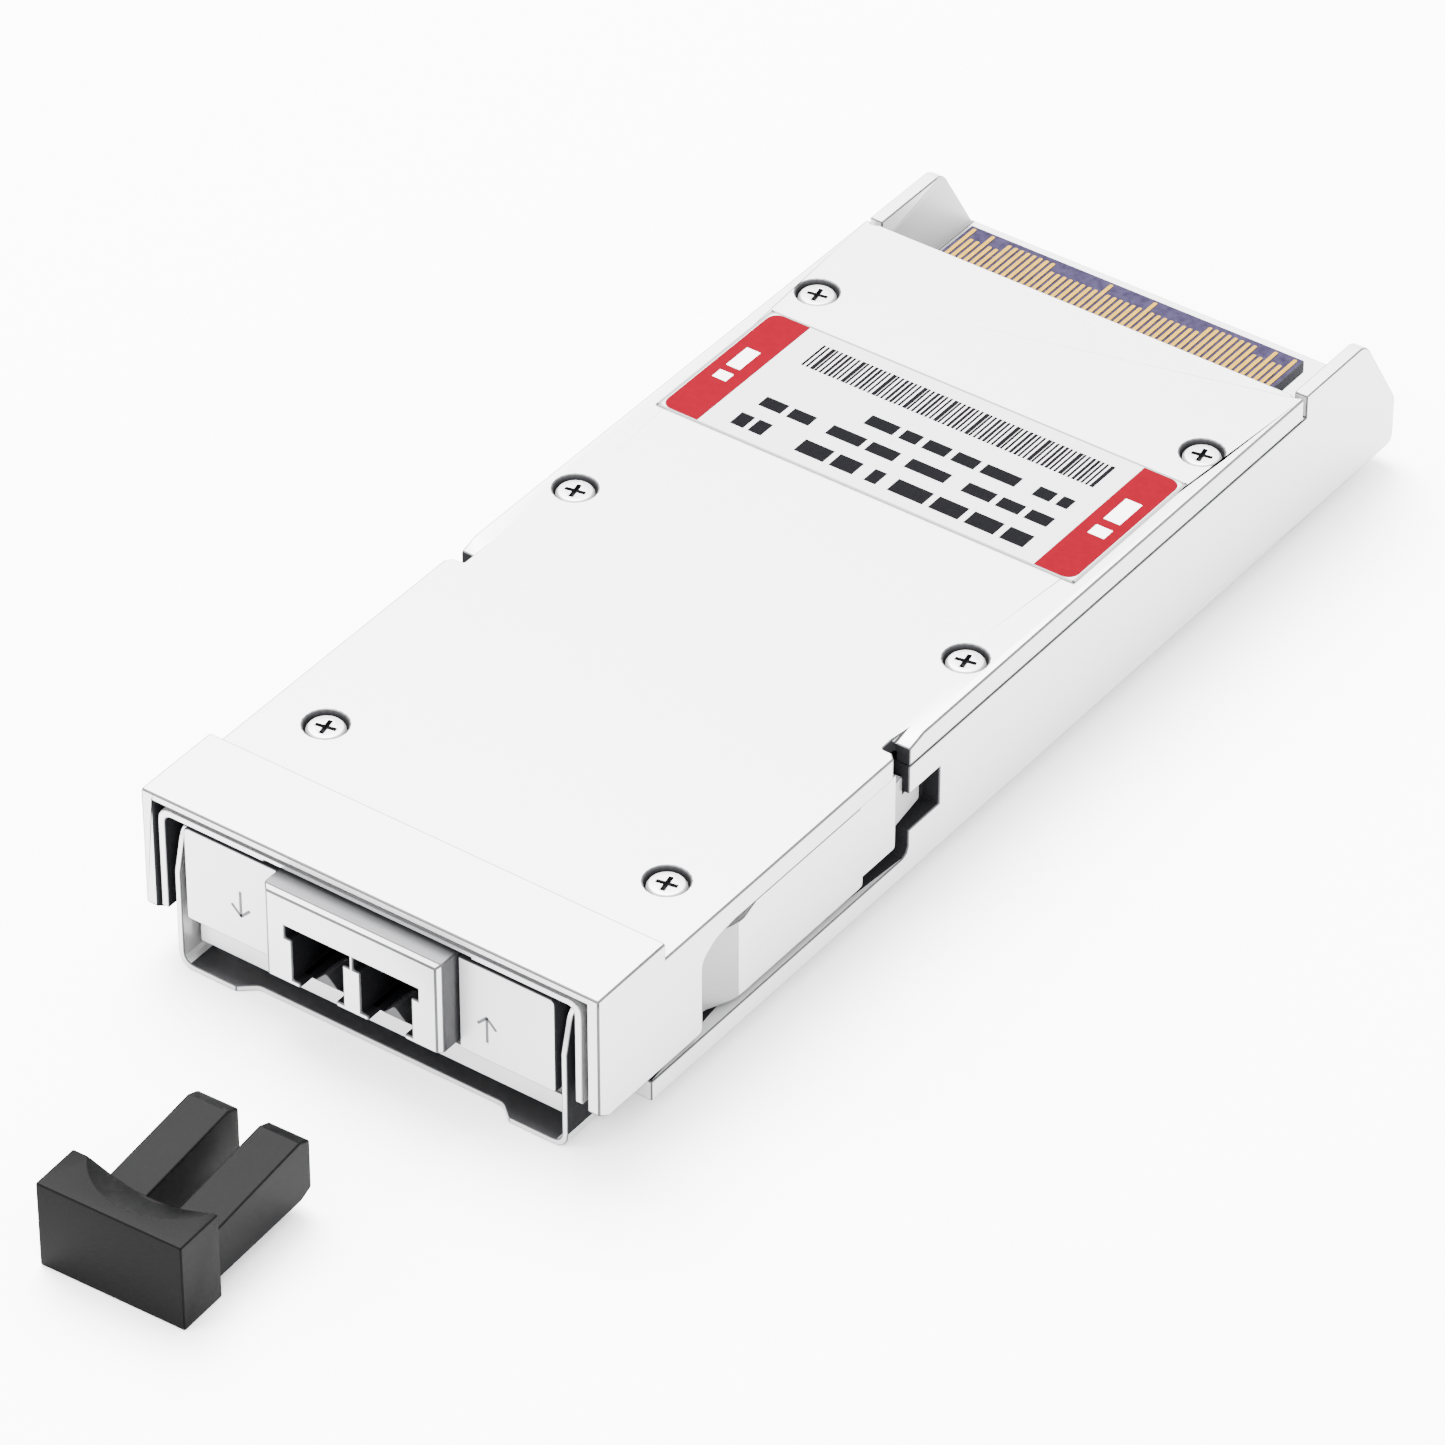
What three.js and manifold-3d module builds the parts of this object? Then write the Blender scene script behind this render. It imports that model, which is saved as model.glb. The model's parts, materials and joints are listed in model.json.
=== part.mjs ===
// A pluggable optical transceiver module: a cast cover and tray that hold a circuit board and
// two optical sub-assemblies, a duplex receptacle in the front plate, and a bail that pulls a
// sprung slider forwards to free the module from its cage. A loose dust plug lies in front.
//
// Millimetres, +Z up. Inside this file Y is counted from the front face of the cover's head,
// towards the edge connector, and X from the centre line. The exported group moves that to the
// part's own origin, the centre of the tray's flat underside.
import * as THREE from "three";
import { mergeVertices } from "three/addons/utils/BufferGeometryUtils.js";
import Module from "manifold-3d";

const wasm = await Module();
wasm.setup();

// ---------------------------------------------------------------- driving dimensions

const ORIGIN_Y = 53.5; // from the head's front face to the part's origin
const HALF = 41.5 / 2; // half the body width
const FIT = 0.05; // face clearance between pieces that meet
const EPS = 1; // how far a cutter runs past the face it opens

const HEAD = { length: 8.12, top: 13.55, wall: 1.1, roof: 0.73, back: 0.72, hem: 2.2, toe: 0.7 };
const LID = { end: 91.9, top: 12.15, plate: 1.2, band: 2.0, bandWidth: 1.2 };
const SEAM_Z = LID.top - LID.band; // underside of the lid's edge bands
const LID_UNDER = LID.top - LID.plate;
const SKIRT = { rear: 12.6, shoulder: 8.85, shoulderRun: 1.6, shoulderRise: 1.0, meet: 16.5 };
const NOTCH = { start: 36.95, end: 38.5, depth: 1.4, rampEnd: 40.4, rampDrop: 0.47 };
const NOTCH_FLARE = { run: 0.5, inset: 0.5, corner: 0.25 }; // the bite widens forwards at the outside
const GASKET = { inner: 1.9, outer: 1.35, front: 52.5, end: 78.5 };

const FLOOR = 1.8; // tray floor thickness
const TRAY = { tongueFront: 1.5, tongueHalf: 17.0, railFront: 6.3, end: 105.5, wall: 2.4 };
const WALL_FRONT = 38.5; // where the tray's full-height side walls start
const WALL_TOP = SEAM_Z - 0.1;
const WINDOW = { end: 42.5, low: 4.05, high: 7.5, depth: 1.6 };
const RECESS = { inner: 1.6, wall: 0.9, start: 17.4, frontInner: 2.6 };
const BULKHEAD = { front: 12.7, thick: 1.0 };
const WALL_TOE = 0.7; // radius where the wall's front end meets the rail
const EAR = { front: 92.36, thick: 1.2, top: 12.1, end: 105.65, foot: 4.3 };
const EAR_SLOPE = { start: 100.4, turn: 101.2, drop: 0.5 };
const SHELF = { front: 95.0, top: 4.9 };
const SEAT = { front: 92.0, corner: 0.5, cornerIn: 0.78, cornerBack: 0.3 };

const SCREW = { head: 1.55, headHigh: 0.85, well: 1.75, wellDeep: 1.1, shank: 0.8, bore: 0.9 };
const SCREW_CROSS = { long: 1.7, wide: 0.36, deep: 0.45, turn: 0.2 };
const SCREW_SEAT_GAP = 0.02; // under the head
const SCREW_FOOT = 5.6;
const SCREW_BORE_FOOT = 5.0;
const BOSS = { lid: 2.2, tray: 1.9 };
const SCREW_ROWS = [
  { name: "front", x: 15.6, y: 15.25 },
  { name: "middle", x: 18.15, y: 49.5 },
  { name: "rear", x: 18.15, y: 81.45 },
];

const PLATE = { half: 16.9, low: 3.21, high: 11.77, thick: 1.3, bridge: 3.55 };
const CHEEK = { thick: 0.8, end: 6.0, high: 11.4 };
const BLOCK = { half: 8.1, front: -2.0, end: 12.5, low: 3.7, high: 11.98, bevel: 0.4, back: 9.5 };
const BLOCK_STEP = { y: 7.2, high: LID_UNDER - 0.1 }; // lower where it runs under the lid
const PITCH = 6.25; // between the two optical ports
const PORT = { half: 2.325, keyHalf: 2.95, keyLow: 7.85, keyHigh: 8.95, footTop: 4.15, slot: 1.65 };
const BEAM_Z = 6.0; // height of the optical axes
const BEAM_BORE = 1.3;
const SLEEVE = { bore: 0.64, outer: 1.22, front: 3.1, long: 9.4 };

const SLIDER = { out: 19.25, gauge: 0.65, strap: 3.6, top: 12.64, under: 12.01, hem: 3.3 };
const SLIDER_RELIEF = { half: 9.4, under: 12.16 };
const ARM = { out: 20.45, top: 9.8, frontTop: 9.2, rise: 18.2, low: 2.15, jogStart: 14.4, jogEnd: 17.0 };
const TEE = { start: 33.1, end: 37.25, low: 3.05, high: 10.08 };
const NECK = { end: 38.25, low: 5.15, high: 9.2 };
const TONGUE = { end: 41.0, low: 5.15, high: 7.4, out: 19.95 };
const LUG = { inner: 12.5, front: 9.0, thick: 0.7, low: 4.4, high: 7.8 };

const BAIL = { out: 17.9, gauge: 0.52, width: 4.2, low: -1.75, top: 10.95, bend: 1.0 };
const BAIL_WEB = { wideFrom: 12.55, narrowTo: 11.25, setBack: 1.1 };
const PIVOT = { y: 2.2, z: 8.75, pin: 0.5, hole: 0.56, head: 0.8, headHigh: 0.3 };

const SPRING = { x: 14.2, radius: 1.3, wire: 0.22, turns: 6 };

const BOARD = { half: 15.85, front: 39.0, end: 99.7, top: 9.2, thick: 1.15 };
const STANDOFF = { x: 14.0, radius: 1.2, rows: [45.0, 86.0] };
const CONTACT = { count: 52, pitch: 0.6, wide: 0.36, thick: 0.06, front: 89.0, bar: 1.0 };
const FLEX = { half: 2.4, thick: 0.2, low: 5.9, riseStart: 35.2, riseEnd: 37.7, high: 7.8, end: 43.0 };
const OPTIC = { half: 2.9, high: 5.6, front: 17.5, end: 33.0, nose: 2.2, noseFront: 12.6 };

const LABEL = { half: 19.55, front: 61.8, end: 77.3, thick: 0.08, corner: 1.2 };

const PAD_OPTICS = { half: 5.8, front: 20, end: 31 };

const PLUG = { wide: 12.7, high: 7.7, deep: 4.45, x: 1.31, y: -31.5, yaw: 2.25, corner: 0.2 };
const SCOOP = { x: 0.5, y: 7.7, top: 6.5, foot: 3.6, drop: 1.3 }; // cone sunk in the plug's top
const PRONG = { wide: 3.6, low: 1.4, high: 6.77, long: 11.3, shift: 1.1, tip: 1.2 };
const PRONG_ROOT = { under: 0.5, drop: 0.9 }; // how far a prong starts inside the head, and its fall

// ---------------------------------------------------------------- shapes and solids

// A closed three.js geometry as a solid that can be joined and cut.
function solidOf(geometry) {
  const flat = geometry.index ? geometry.toNonIndexed() : geometry.clone();
  flat.deleteAttribute("normal");
  flat.deleteAttribute("uv");
  const merged = mergeVertices(flat, 1e-4);
  return new wasm.Manifold(
    new wasm.Mesh({
      numProp: 3,
      vertProperties: new Float32Array(merged.attributes.position.array),
      triVerts: new Uint32Array(merged.index.array),
    }),
  );
}

function geometryOf(solid) {
  const made = solid.getMesh();
  const stride = made.numProp;
  const places = new Float32Array(made.numVert * 3);
  for (let i = 0; i < made.numVert; i += 1) {
    places.set(made.vertProperties.subarray(i * stride, i * stride + 3), i * 3);
  }
  const geometry = new THREE.BufferGeometry();
  geometry.setAttribute("position", new THREE.BufferAttribute(places, 3));
  geometry.setIndex(new THREE.BufferAttribute(new Uint32Array(made.triVerts), 1));
  geometry.computeVertexNormals();
  return geometry;
}

const join = (...solids) => solids.reduce((a, b) => a.add(b));
const cut = (body, ...tools) => tools.reduce((a, b) => a.subtract(b), body);

function box([x0, x1], [y0, y1], [z0, z1]) {
  const geometry = new THREE.BoxGeometry(x1 - x0, y1 - y0, z1 - z0);
  return solidOf(geometry.translate((x0 + x1) / 2, (y0 + y1) / 2, (z0 + z1) / 2));
}

// An outline from [a, b] corners; a third number rounds that corner by that radius.
function outline(corners) {
  const shape = new THREE.Shape();
  corners.forEach(([a, b, radius = 0], i) => {
    const here = new THREE.Vector2(a, b);
    const before = new THREE.Vector2(...corners.at(i - 1).slice(0, 2));
    const after = new THREE.Vector2(...corners[(i + 1) % corners.length].slice(0, 2));
    const enter = here.clone().add(before.sub(here).setLength(radius));
    const leave = here.clone().add(after.sub(here).setLength(radius));
    if (i === 0) shape.moveTo(leave.x, leave.y);
    else shape.lineTo(enter.x, enter.y);
    if (i > 0 && radius > 0) shape.quadraticCurveTo(a, b, leave.x, leave.y);
  });
  const [a, b, radius = 0] = corners[0];
  if (radius > 0) {
    const here = new THREE.Vector2(a, b);
    const before = new THREE.Vector2(...corners.at(-1).slice(0, 2));
    const enter = here.clone().add(before.sub(here).setLength(radius));
    const after = new THREE.Vector2(...corners[1].slice(0, 2));
    const leave = here.clone().add(after.sub(here).setLength(radius));
    shape.lineTo(enter.x, enter.y);
    shape.quadraticCurveTo(a, b, leave.x, leave.y);
  }
  return shape;
}

function extrude(corners, depth) {
  return new THREE.ExtrudeGeometry(outline(corners), {
    depth,
    bevelEnabled: false,
    curveSegments: 4,
  });
}

// A plate between x0 and x1 whose outline is given in (y, z).
function plateX(corners, [x0, x1]) {
  const turn = new THREE.Matrix4().set(0, 0, 1, x0, 1, 0, 0, 0, 0, 1, 0, 0, 0, 0, 0, 1);
  return solidOf(extrude(corners, x1 - x0).applyMatrix4(turn));
}

// A plate between y0 and y1 whose outline is given in (x, z).
function plateY(corners, [y0, y1]) {
  return solidOf(extrude(corners, y1 - y0).rotateX(Math.PI / 2).translate(0, y1, 0));
}

// A plate between z0 and z1 whose outline is given in (x, y).
function plateZ(corners, [z0, z1]) {
  return solidOf(extrude(corners, z1 - z0).translate(0, 0, z0));
}

function rodZ(radius, x, y, [z0, z1], sides = 20) {
  const geometry = new THREE.CylinderGeometry(radius, radius, z1 - z0, sides);
  return solidOf(geometry.rotateX(Math.PI / 2).translate(x, y, (z0 + z1) / 2));
}

function rodY(radius, x, z, [y0, y1], sides = 20) {
  const geometry = new THREE.CylinderGeometry(radius, radius, y1 - y0, sides);
  return solidOf(geometry.translate(x, (y0 + y1) / 2, z));
}

function rodX(radius, y, z, [x0, x1], sides = 16) {
  const geometry = new THREE.CylinderGeometry(radius, radius, x1 - x0, sides);
  return solidOf(geometry.rotateZ(Math.PI / 2).translate((x0 + x1) / 2, y, z));
}

const flipX = (corners) => corners.map(([x, ...rest]) => [-x, ...rest]).reverse();

// The same span on the right (side 1) or on the left (side -1) of the centre line.
const spanX = (side, near, far) => (side > 0 ? [near, far] : [-far, -near]);

const SIDES = [-1, 1];
const screwPlaces = SCREW_ROWS.flatMap((row) => SIDES.map((side) => ({ ...row, side })));

const part = new THREE.Group();
const module = new THREE.Group();
module.position.y = -ORIGIN_Y;
part.add(module);

function addMesh(name, solid, color, roughness, metalness, parent = module) {
  const material = new THREE.MeshStandardMaterial({ color, roughness, metalness });
  const mesh = new THREE.Mesh(geometryOf(solid), material);
  mesh.name = name;
  parent.add(mesh);
  return mesh;
}

const addNickel = (name, solid) => addMesh(name, solid, 0xe4e4e6, 0.42, 0.85);
const addSteel = (name, solid) => addMesh(name, solid, 0xd2d3d6, 0.3, 0.95);
const addChip = (name, solid) => addMesh(name, solid, 0x1c1d20, 0.6, 0);
const addGold = (name, solid) => addMesh(name, solid, 0xe8c873, 0.3, 1);

// ---------------------------------------------------------------- casing

// The side wall of the head and the lid's edge band, one profile seen from the side.
const coverSide = [
  [0, HEAD.top],
  [0, HEAD.hem + HEAD.toe],
  [HEAD.wall, HEAD.hem],
  [SKIRT.rear, HEAD.hem, 0.6],
  [SKIRT.rear, SKIRT.shoulder, 0.7],
  [SKIRT.rear + SKIRT.shoulderRun, SKIRT.shoulder + SKIRT.shoulderRise, 0.6],
  [SKIRT.meet, SEAM_Z],
  [LID.end, SEAM_Z],
  [LID.end, LID.top],
  [HEAD.length, LID.top],
  [HEAD.length, HEAD.top],
];

// The bite out of the lid's edge that the slider's latch passes, seen from above.
const notchPlan = [
  [HALF + EPS, NOTCH.start - NOTCH_FLARE.run],
  [HALF + EPS, NOTCH.end],
  [HALF - NOTCH.depth, NOTCH.end, NOTCH_FLARE.corner],
  [HALF - NOTCH.depth, NOTCH.start, NOTCH_FLARE.corner],
  [HALF - NOTCH_FLARE.inset, NOTCH.start],
  [HALF, NOTCH.start - NOTCH_FLARE.run],
];

// What the ramp behind the bite takes off the lid's corner, seen from the side.
const rampSide = [
  [NOTCH.end - EPS, LID.top - NOTCH.rampDrop],
  [NOTCH.end, LID.top - NOTCH.rampDrop],
  [NOTCH.rampEnd, LID.top],
  [NOTCH.rampEnd, LID.top + EPS],
  [NOTCH.end - EPS, LID.top + EPS],
];

function makeTopCover() {
  const lid = box([-HALF, HALF], [HEAD.length, LID.end], [LID_UNDER, LID.top]);
  const roof = box([-HALF, HALF], [0, HEAD.length], [HEAD.top - HEAD.roof, HEAD.top]);
  const back = box([-HALF, HALF], [HEAD.length - HEAD.back, HEAD.length], [LID_UNDER, HEAD.top]);
  const walls = SIDES.map((side) => plateX(coverSide, spanX(side, HALF - HEAD.wall, HALF)));
  const bands = SIDES.map((side) =>
    box(spanX(side, HALF - LID.bandWidth, HALF), [SKIRT.meet, LID.end], [SEAM_Z, LID.top]),
  );
  const bosses = screwPlaces.map(({ x, y, side }) =>
    rodZ(BOSS.lid, side * x, y, [SEAM_Z, LID.top - FIT]),
  );
  const body = join(lid, roof, back, ...walls, ...bands, ...bosses);

  const wells = screwPlaces.map(({ x, y, side }) =>
    rodZ(SCREW.well, side * x, y, [LID.top - SCREW.wellDeep, LID.top + EPS]),
  );
  const bores = screwPlaces.map(({ x, y, side }) =>
    rodZ(SCREW.bore, side * x, y, [SEAM_Z - EPS, LID.top], 16),
  );
  const notchHigh = [SEAM_Z - EPS, LID.top + EPS];
  const notches = [plateZ(notchPlan, notchHigh), plateZ(flipX(notchPlan), notchHigh)];
  const ramps = SIDES.map((side) => plateX(rampSide, spanX(side, HALF - NOTCH.depth, HALF + EPS)));
  const reliefs = SIDES.map((side) =>
    rodZ(
      SEAT.corner,
      side * (HALF - SEAT.cornerIn),
      LID.end + SEAT.cornerBack,
      [SEAM_Z - EPS, LID.top + EPS],
      12,
    ),
  );
  const outside = SIDES.map((side) =>
    box(spanX(side, HALF, HALF + BOSS.lid), [0, LID.end], [SEAM_Z - EPS, LID.top + EPS]),
  );
  return cut(body, ...wells, ...bores, ...notches, ...ramps, ...reliefs, ...outside);
}

// The tray's ear beside the edge connector, seen from the side.
const earSide = [
  [SEAT.front, 0],
  [EAR.end, 0, 0.8],
  [EAR.end, EAR.foot, 0.5],
  [EAR_SLOPE.turn, EAR.top - EAR_SLOPE.drop, 0.4],
  [EAR_SLOPE.start, EAR.top, 0.4],
  [EAR.front, EAR.top],
  [EAR.front, WALL_TOP],
  [SEAT.front, WALL_TOP],
];

// The front end of the full-height side wall, with its foot rounded into the rail.
const wallSide = [
  [SEAT.front + EPS, 0],
  [SEAT.front + EPS, WALL_TOP],
  [WALL_FRONT, WALL_TOP],
  [WALL_FRONT, FLOOR + WALL_TOE],
  [WALL_FRONT - 0.3 * WALL_TOE, FLOOR + 0.3 * WALL_TOE],
  [WALL_FRONT - WALL_TOE, FLOOR],
  [WALL_FRONT - WALL_TOE, 0],
];

function makeTrayWalls(side) {
  const ear = plateX(earSide, spanX(side, HALF - EAR.thick, HALF));
  const wall = cut(
    plateX(wallSide, spanX(side, HALF - TRAY.wall, HALF)),
    box(
      spanX(side, HALF - WINDOW.depth, HALF + EPS),
      [WALL_FRONT - EPS, WINDOW.end],
      [WINDOW.low, WINDOW.high],
    ),
  );
  const recessFar = HALF - RECESS.inner;
  const recess = box(
    spanX(side, recessFar - RECESS.wall, recessFar),
    [RECESS.start, WALL_FRONT + RECESS.wall],
    [0, WALL_TOP],
  );
  const frontFar = HALF - RECESS.frontInner;
  const frontWall = box(
    spanX(side, frontFar - RECESS.wall, frontFar),
    [BULKHEAD.front, RECESS.start + RECESS.wall],
    [0, WALL_TOP],
  );
  const stepWall = box(
    spanX(side, frontFar - RECESS.wall, recessFar),
    [RECESS.start, RECESS.start + RECESS.wall],
    [0, WALL_TOP],
  );
  return join(ear, wall, recess, frontWall, stepWall);
}

function makeBottomTray() {
  const floor = box([-HALF, HALF], [TRAY.railFront, SEAT.front + EPS], [0, FLOOR]);
  const tongue = box(
    [-TRAY.tongueHalf, TRAY.tongueHalf],
    [TRAY.tongueFront, TRAY.railFront + EPS],
    [0, FLOOR],
  );
  const innerHalf = HALF - EAR.thick / 2;
  const rearFloor = box([-innerHalf, innerHalf], [SEAT.front, TRAY.end], [0, FLOOR]);
  const shelf = box([-innerHalf, innerHalf], [SHELF.front, TRAY.end], [FLOOR / 2, SHELF.top]);
  const bulkheadFar = HALF - RECESS.frontInner - RECESS.wall / 2;
  const bulkhead = box(
    [-bulkheadFar, bulkheadFar],
    [BULKHEAD.front, BULKHEAD.front + BULKHEAD.thick],
    [0, LID_UNDER - FIT],
  );
  const bosses = screwPlaces.map(({ x, y, side }) =>
    rodZ(BOSS.tray, side * x, y, [FLOOR / 2, WALL_TOP]),
  );
  const standoffs = STANDOFF.rows.flatMap((y) =>
    SIDES.map((side) =>
      rodZ(STANDOFF.radius, side * STANDOFF.x, y, [FLOOR / 2, BOARD.top - BOARD.thick - FIT], 12),
    ),
  );
  const body = join(
    floor,
    tongue,
    rearFloor,
    shelf,
    bulkhead,
    ...SIDES.map(makeTrayWalls),
    ...bosses,
    ...standoffs,
  );

  const beamHoles = SIDES.map((side) =>
    rodY(
      OPTIC.nose + 0.1,
      (side * PITCH) / 2,
      BEAM_Z,
      [BULKHEAD.front - EPS, BULKHEAD.front + BULKHEAD.thick + EPS],
    ),
  );
  const bores = screwPlaces.map(({ x, y, side }) =>
    rodZ(SCREW.bore, side * x, y, [SCREW_BORE_FOOT, LID.top], 16),
  );
  const bossSpill = SIDES.map((side) =>
    box(spanX(side, HALF, HALF + BOSS.lid), [0, SEAT.front], [0, LID.top]),
  );
  const lidBossRoom = SIDES.map((side) =>
    rodZ(BOSS.lid + 0.15, side * SCREW_ROWS[0].x, SCREW_ROWS[0].y, [WALL_TOP, LID.top]),
  );
  return cut(body, ...beamHoles, ...bores, ...bossSpill, ...lidBossRoom);
}

addNickel("top_cover", makeTopCover());
addNickel("bottom_tray", makeBottomTray());

// A pan-head screw with a cross recess, sunk in its well.
function makeScrew(x, y) {
  const under = LID.top - SCREW.wellDeep + SCREW_SEAT_GAP;
  const top = under + SCREW.headHigh;
  const profile = [
    [0, SCREW_FOOT],
    [SCREW.shank - 0.3, SCREW_FOOT],
    [SCREW.shank, SCREW_FOOT + 0.5],
    [SCREW.shank, under],
    [SCREW.head, under],
    [SCREW.head, top - 0.25],
    [SCREW.head - 0.2, top],
    [0, top],
  ].map(([r, z]) => new THREE.Vector2(r, z));
  const turned = solidOf(new THREE.LatheGeometry(profile, 20).rotateX(Math.PI / 2));
  const arms = [0, Math.PI / 2].map((turn) => {
    const { long, wide, deep } = SCREW_CROSS;
    const arm = new THREE.BoxGeometry(long, wide, 2 * deep);
    return solidOf(arm.rotateZ(turn + SCREW_CROSS.turn).translate(0, 0, top));
  });
  return cut(turned, ...arms).translate([x, y, 0]);
}

screwPlaces.forEach(({ name, x, y, side }) => {
  addSteel(`lid_screw_${name}_${side < 0 ? "left" : "right"}`, makeScrew(side * x, y));
});

// Conductive strips that close the long seams between lid and tray.
SIDES.forEach((side) => {
  const strip = box(
    spanX(side, HALF - GASKET.inner, HALF - GASKET.outer),
    [GASKET.front, GASKET.end],
    [WALL_TOP, LID_UNDER - FIT],
  );
  addMesh(`seam_gasket_${side < 0 ? "left" : "right"}`, strip, 0x6c6d70, 0.9, 0.1);
});

function makeLabel() {
  const { half, front, end, corner } = LABEL;
  const plan = [
    [-half, front, corner],
    [half, front, corner],
    [half, end, corner],
    [-half, end, corner],
  ];
  return plateZ(plan, [LID.top, LID.top + LABEL.thick]);
}
addMesh("label", makeLabel(), 0xe9e9ea, 0.5, 0);

// ---------------------------------------------------------------- front plate and receptacle

function makeFaceplate() {
  const plan = [
    [-PLATE.half, PLATE.low, 0.3],
    [PLATE.half, PLATE.low, 0.3],
    [PLATE.half, PLATE.high, 0.5],
    [BLOCK.half + 0.15, PLATE.high],
    [BLOCK.half + 0.15, PLATE.bridge],
    [-BLOCK.half - 0.15, PLATE.bridge],
    [-BLOCK.half - 0.15, PLATE.high],
    [-PLATE.half, PLATE.high, 0.5],
  ];
  const cheeks = SIDES.map((side) =>
    box(
      spanX(side, PLATE.half - CHEEK.thick, PLATE.half),
      [TRAY.tongueFront + 0.3, CHEEK.end],
      [FLOOR + FIT, CHEEK.high],
    ),
  );
  const roots = SIDES.map((side) =>
    box(
      spanX(side, PLATE.half - CHEEK.thick, PLATE.half),
      [PLATE.thick / 2, CHEEK.end / 2],
      [PLATE.low + 0.4, CHEEK.high],
    ),
  );
  const holes = rodX(PIVOT.pin + FIT, PIVOT.y, PIVOT.z, [-HALF, HALF]);
  return cut(join(plateY(plan, [0, PLATE.thick]), ...cheeks, ...roots), holes);
}
addNickel("faceplate", makeFaceplate());

// One port, seen from the front: a keyway above, the port below it, a slot through the foot.
function portOutline(centre) {
  const right = [
    [PORT.slot, BLOCK.low - EPS],
    [PORT.slot, PORT.footTop],
    [PORT.half, PORT.footTop],
    [PORT.half, PORT.keyLow],
    [PORT.keyHalf, PORT.keyLow],
    [PORT.keyHalf, PORT.keyHigh],
  ];
  return [...right, ...flipX(right)].map(([x, z]) => [x + centre, z]);
}

function makeReceptacle() {
  const { half, low, high, front, end, bevel, back } = BLOCK;
  const body = join(
    box([-half, half], [front, BLOCK_STEP.y], [low, high]),
    box([-half, half], [0, end], [low, BLOCK_STEP.high]),
  );
  const feet = SIDES.map((side) =>
    box(spanX(side, half - 1.5, half), [3, end], [FLOOR + FIT, low + EPS]),
  );
  const ports = SIDES.map((side) => plateY(portOutline((side * PITCH) / 2), [front - EPS, back]));
  const bores = SIDES.map((side) => rodY(BEAM_BORE, (side * PITCH) / 2, BEAM_Z, [back - EPS, end + EPS]));
  const topBevel = plateX(
    [
      [front - EPS, high - bevel - EPS],
      [front + bevel + EPS, high + EPS],
      [front - EPS, high + EPS],
    ],
    [-half - EPS, half + EPS],
  );
  const sideBevels = SIDES.map((side) => {
    const plan = [
      [half - bevel - EPS, front - EPS],
      [half + EPS, front - EPS],
      [half + EPS, front + bevel + EPS],
    ];
    return plateZ(side > 0 ? plan : flipX(plan), [low - EPS, high + EPS]);
  });
  return cut(join(body, ...feet), ...ports, ...bores, topBevel, ...sideBevels);
}
addNickel("lc_receptacle", makeReceptacle());

// The ceramic sleeve that lines up a ferrule in each port.
function makeSleeve(x) {
  const profile = [
    [SLEEVE.bore, 0],
    [SLEEVE.outer, 0],
    [SLEEVE.outer, SLEEVE.long],
    [SLEEVE.bore, SLEEVE.long],
    [SLEEVE.bore, 0],
  ].map(([r, y]) => new THREE.Vector2(r, y));
  return solidOf(new THREE.LatheGeometry(profile, 20).translate(x, SLEEVE.front, BEAM_Z));
}

const CHANNELS = [
  { side: -1, sleeve: "ferrule_sleeve_receive", optic: "receiver_subassembly", flex: "flex_receive" },
  { side: 1, sleeve: "ferrule_sleeve_send", optic: "transmitter_subassembly", flex: "flex_send" },
];

// A flat ribbon from the sub-assembly's back end up to the underside of the board.
function makeFlex(x) {
  const { half, thick, low, riseStart, riseEnd, high, end } = FLEX;
  const under = [
    [OPTIC.end + FIT, low],
    [riseStart, low],
    [riseEnd, high],
    [end, high],
  ];
  const over = under.map(([y, z]) => [y, z + thick]).reverse();
  return plateX([...under, ...over], [x - half, x + half]);
}

function makeOptic(x) {
  const { half, high, front, end, nose, noseFront } = OPTIC;
  const body = box([x - half, x + half], [front, end], [BEAM_Z - high / 2, BEAM_Z + high / 2]);
  return join(body, rodY(nose, x, BEAM_Z, [noseFront, front + EPS]));
}

CHANNELS.forEach(({ side, sleeve, optic, flex }) => {
  const x = (side * PITCH) / 2;
  addMesh(sleeve, makeSleeve(x), 0xf0eee8, 0.35, 0);
  addMesh(optic, makeOptic(x), 0xd8b76a, 0.35, 1);
  addMesh(flex, makeFlex(x), 0xb8702a, 0.5, 0.1);
});

// ---------------------------------------------------------------- latch: slider, bail, springs

// One arm's middle line in plan, from the front along the cover and out to the cage side.
function armPlan(side) {
  const far = [
    [SLIDER.out, 0],
    [SLIDER.out, ARM.jogStart, 0.9],
    [ARM.out, ARM.jogEnd, 0.9],
    [ARM.out, TEE.end],
    [TONGUE.out, TONGUE.end],
  ];
  const near = far.map(([x, y, r = 0]) => [x - SLIDER.gauge, y, r]).reverse();
  return side > 0 ? [...far, ...near] : flipX([...far, ...near]);
}

// An arm's outline seen from the side.
const armSide = [
  [-EPS, SLIDER.hem],
  [5.0, SLIDER.hem],
  [6.6, ARM.low],
  [TEE.start, ARM.low, 0.5],
  [TEE.start, TEE.low],
  [TEE.end, TEE.low, 0.4],
  [TEE.end, NECK.low],
  [TONGUE.end, TONGUE.low, 0.3],
  [TONGUE.end, TONGUE.high, 0.3],
  [NECK.end, TONGUE.high],
  [NECK.end, NECK.high, 0.3],
  [TEE.end, NECK.high],
  [TEE.end, TEE.high, 0.3],
  [TEE.start, TEE.high],
  [TEE.start - 0.5, ARM.top],
  [ARM.rise + 1.5, ARM.top],
  [ARM.rise, ARM.frontTop],
  [SLIDER.strap, ARM.frontTop],
  [SLIDER.strap, SLIDER.under],
  [-EPS, SLIDER.under],
];

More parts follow.
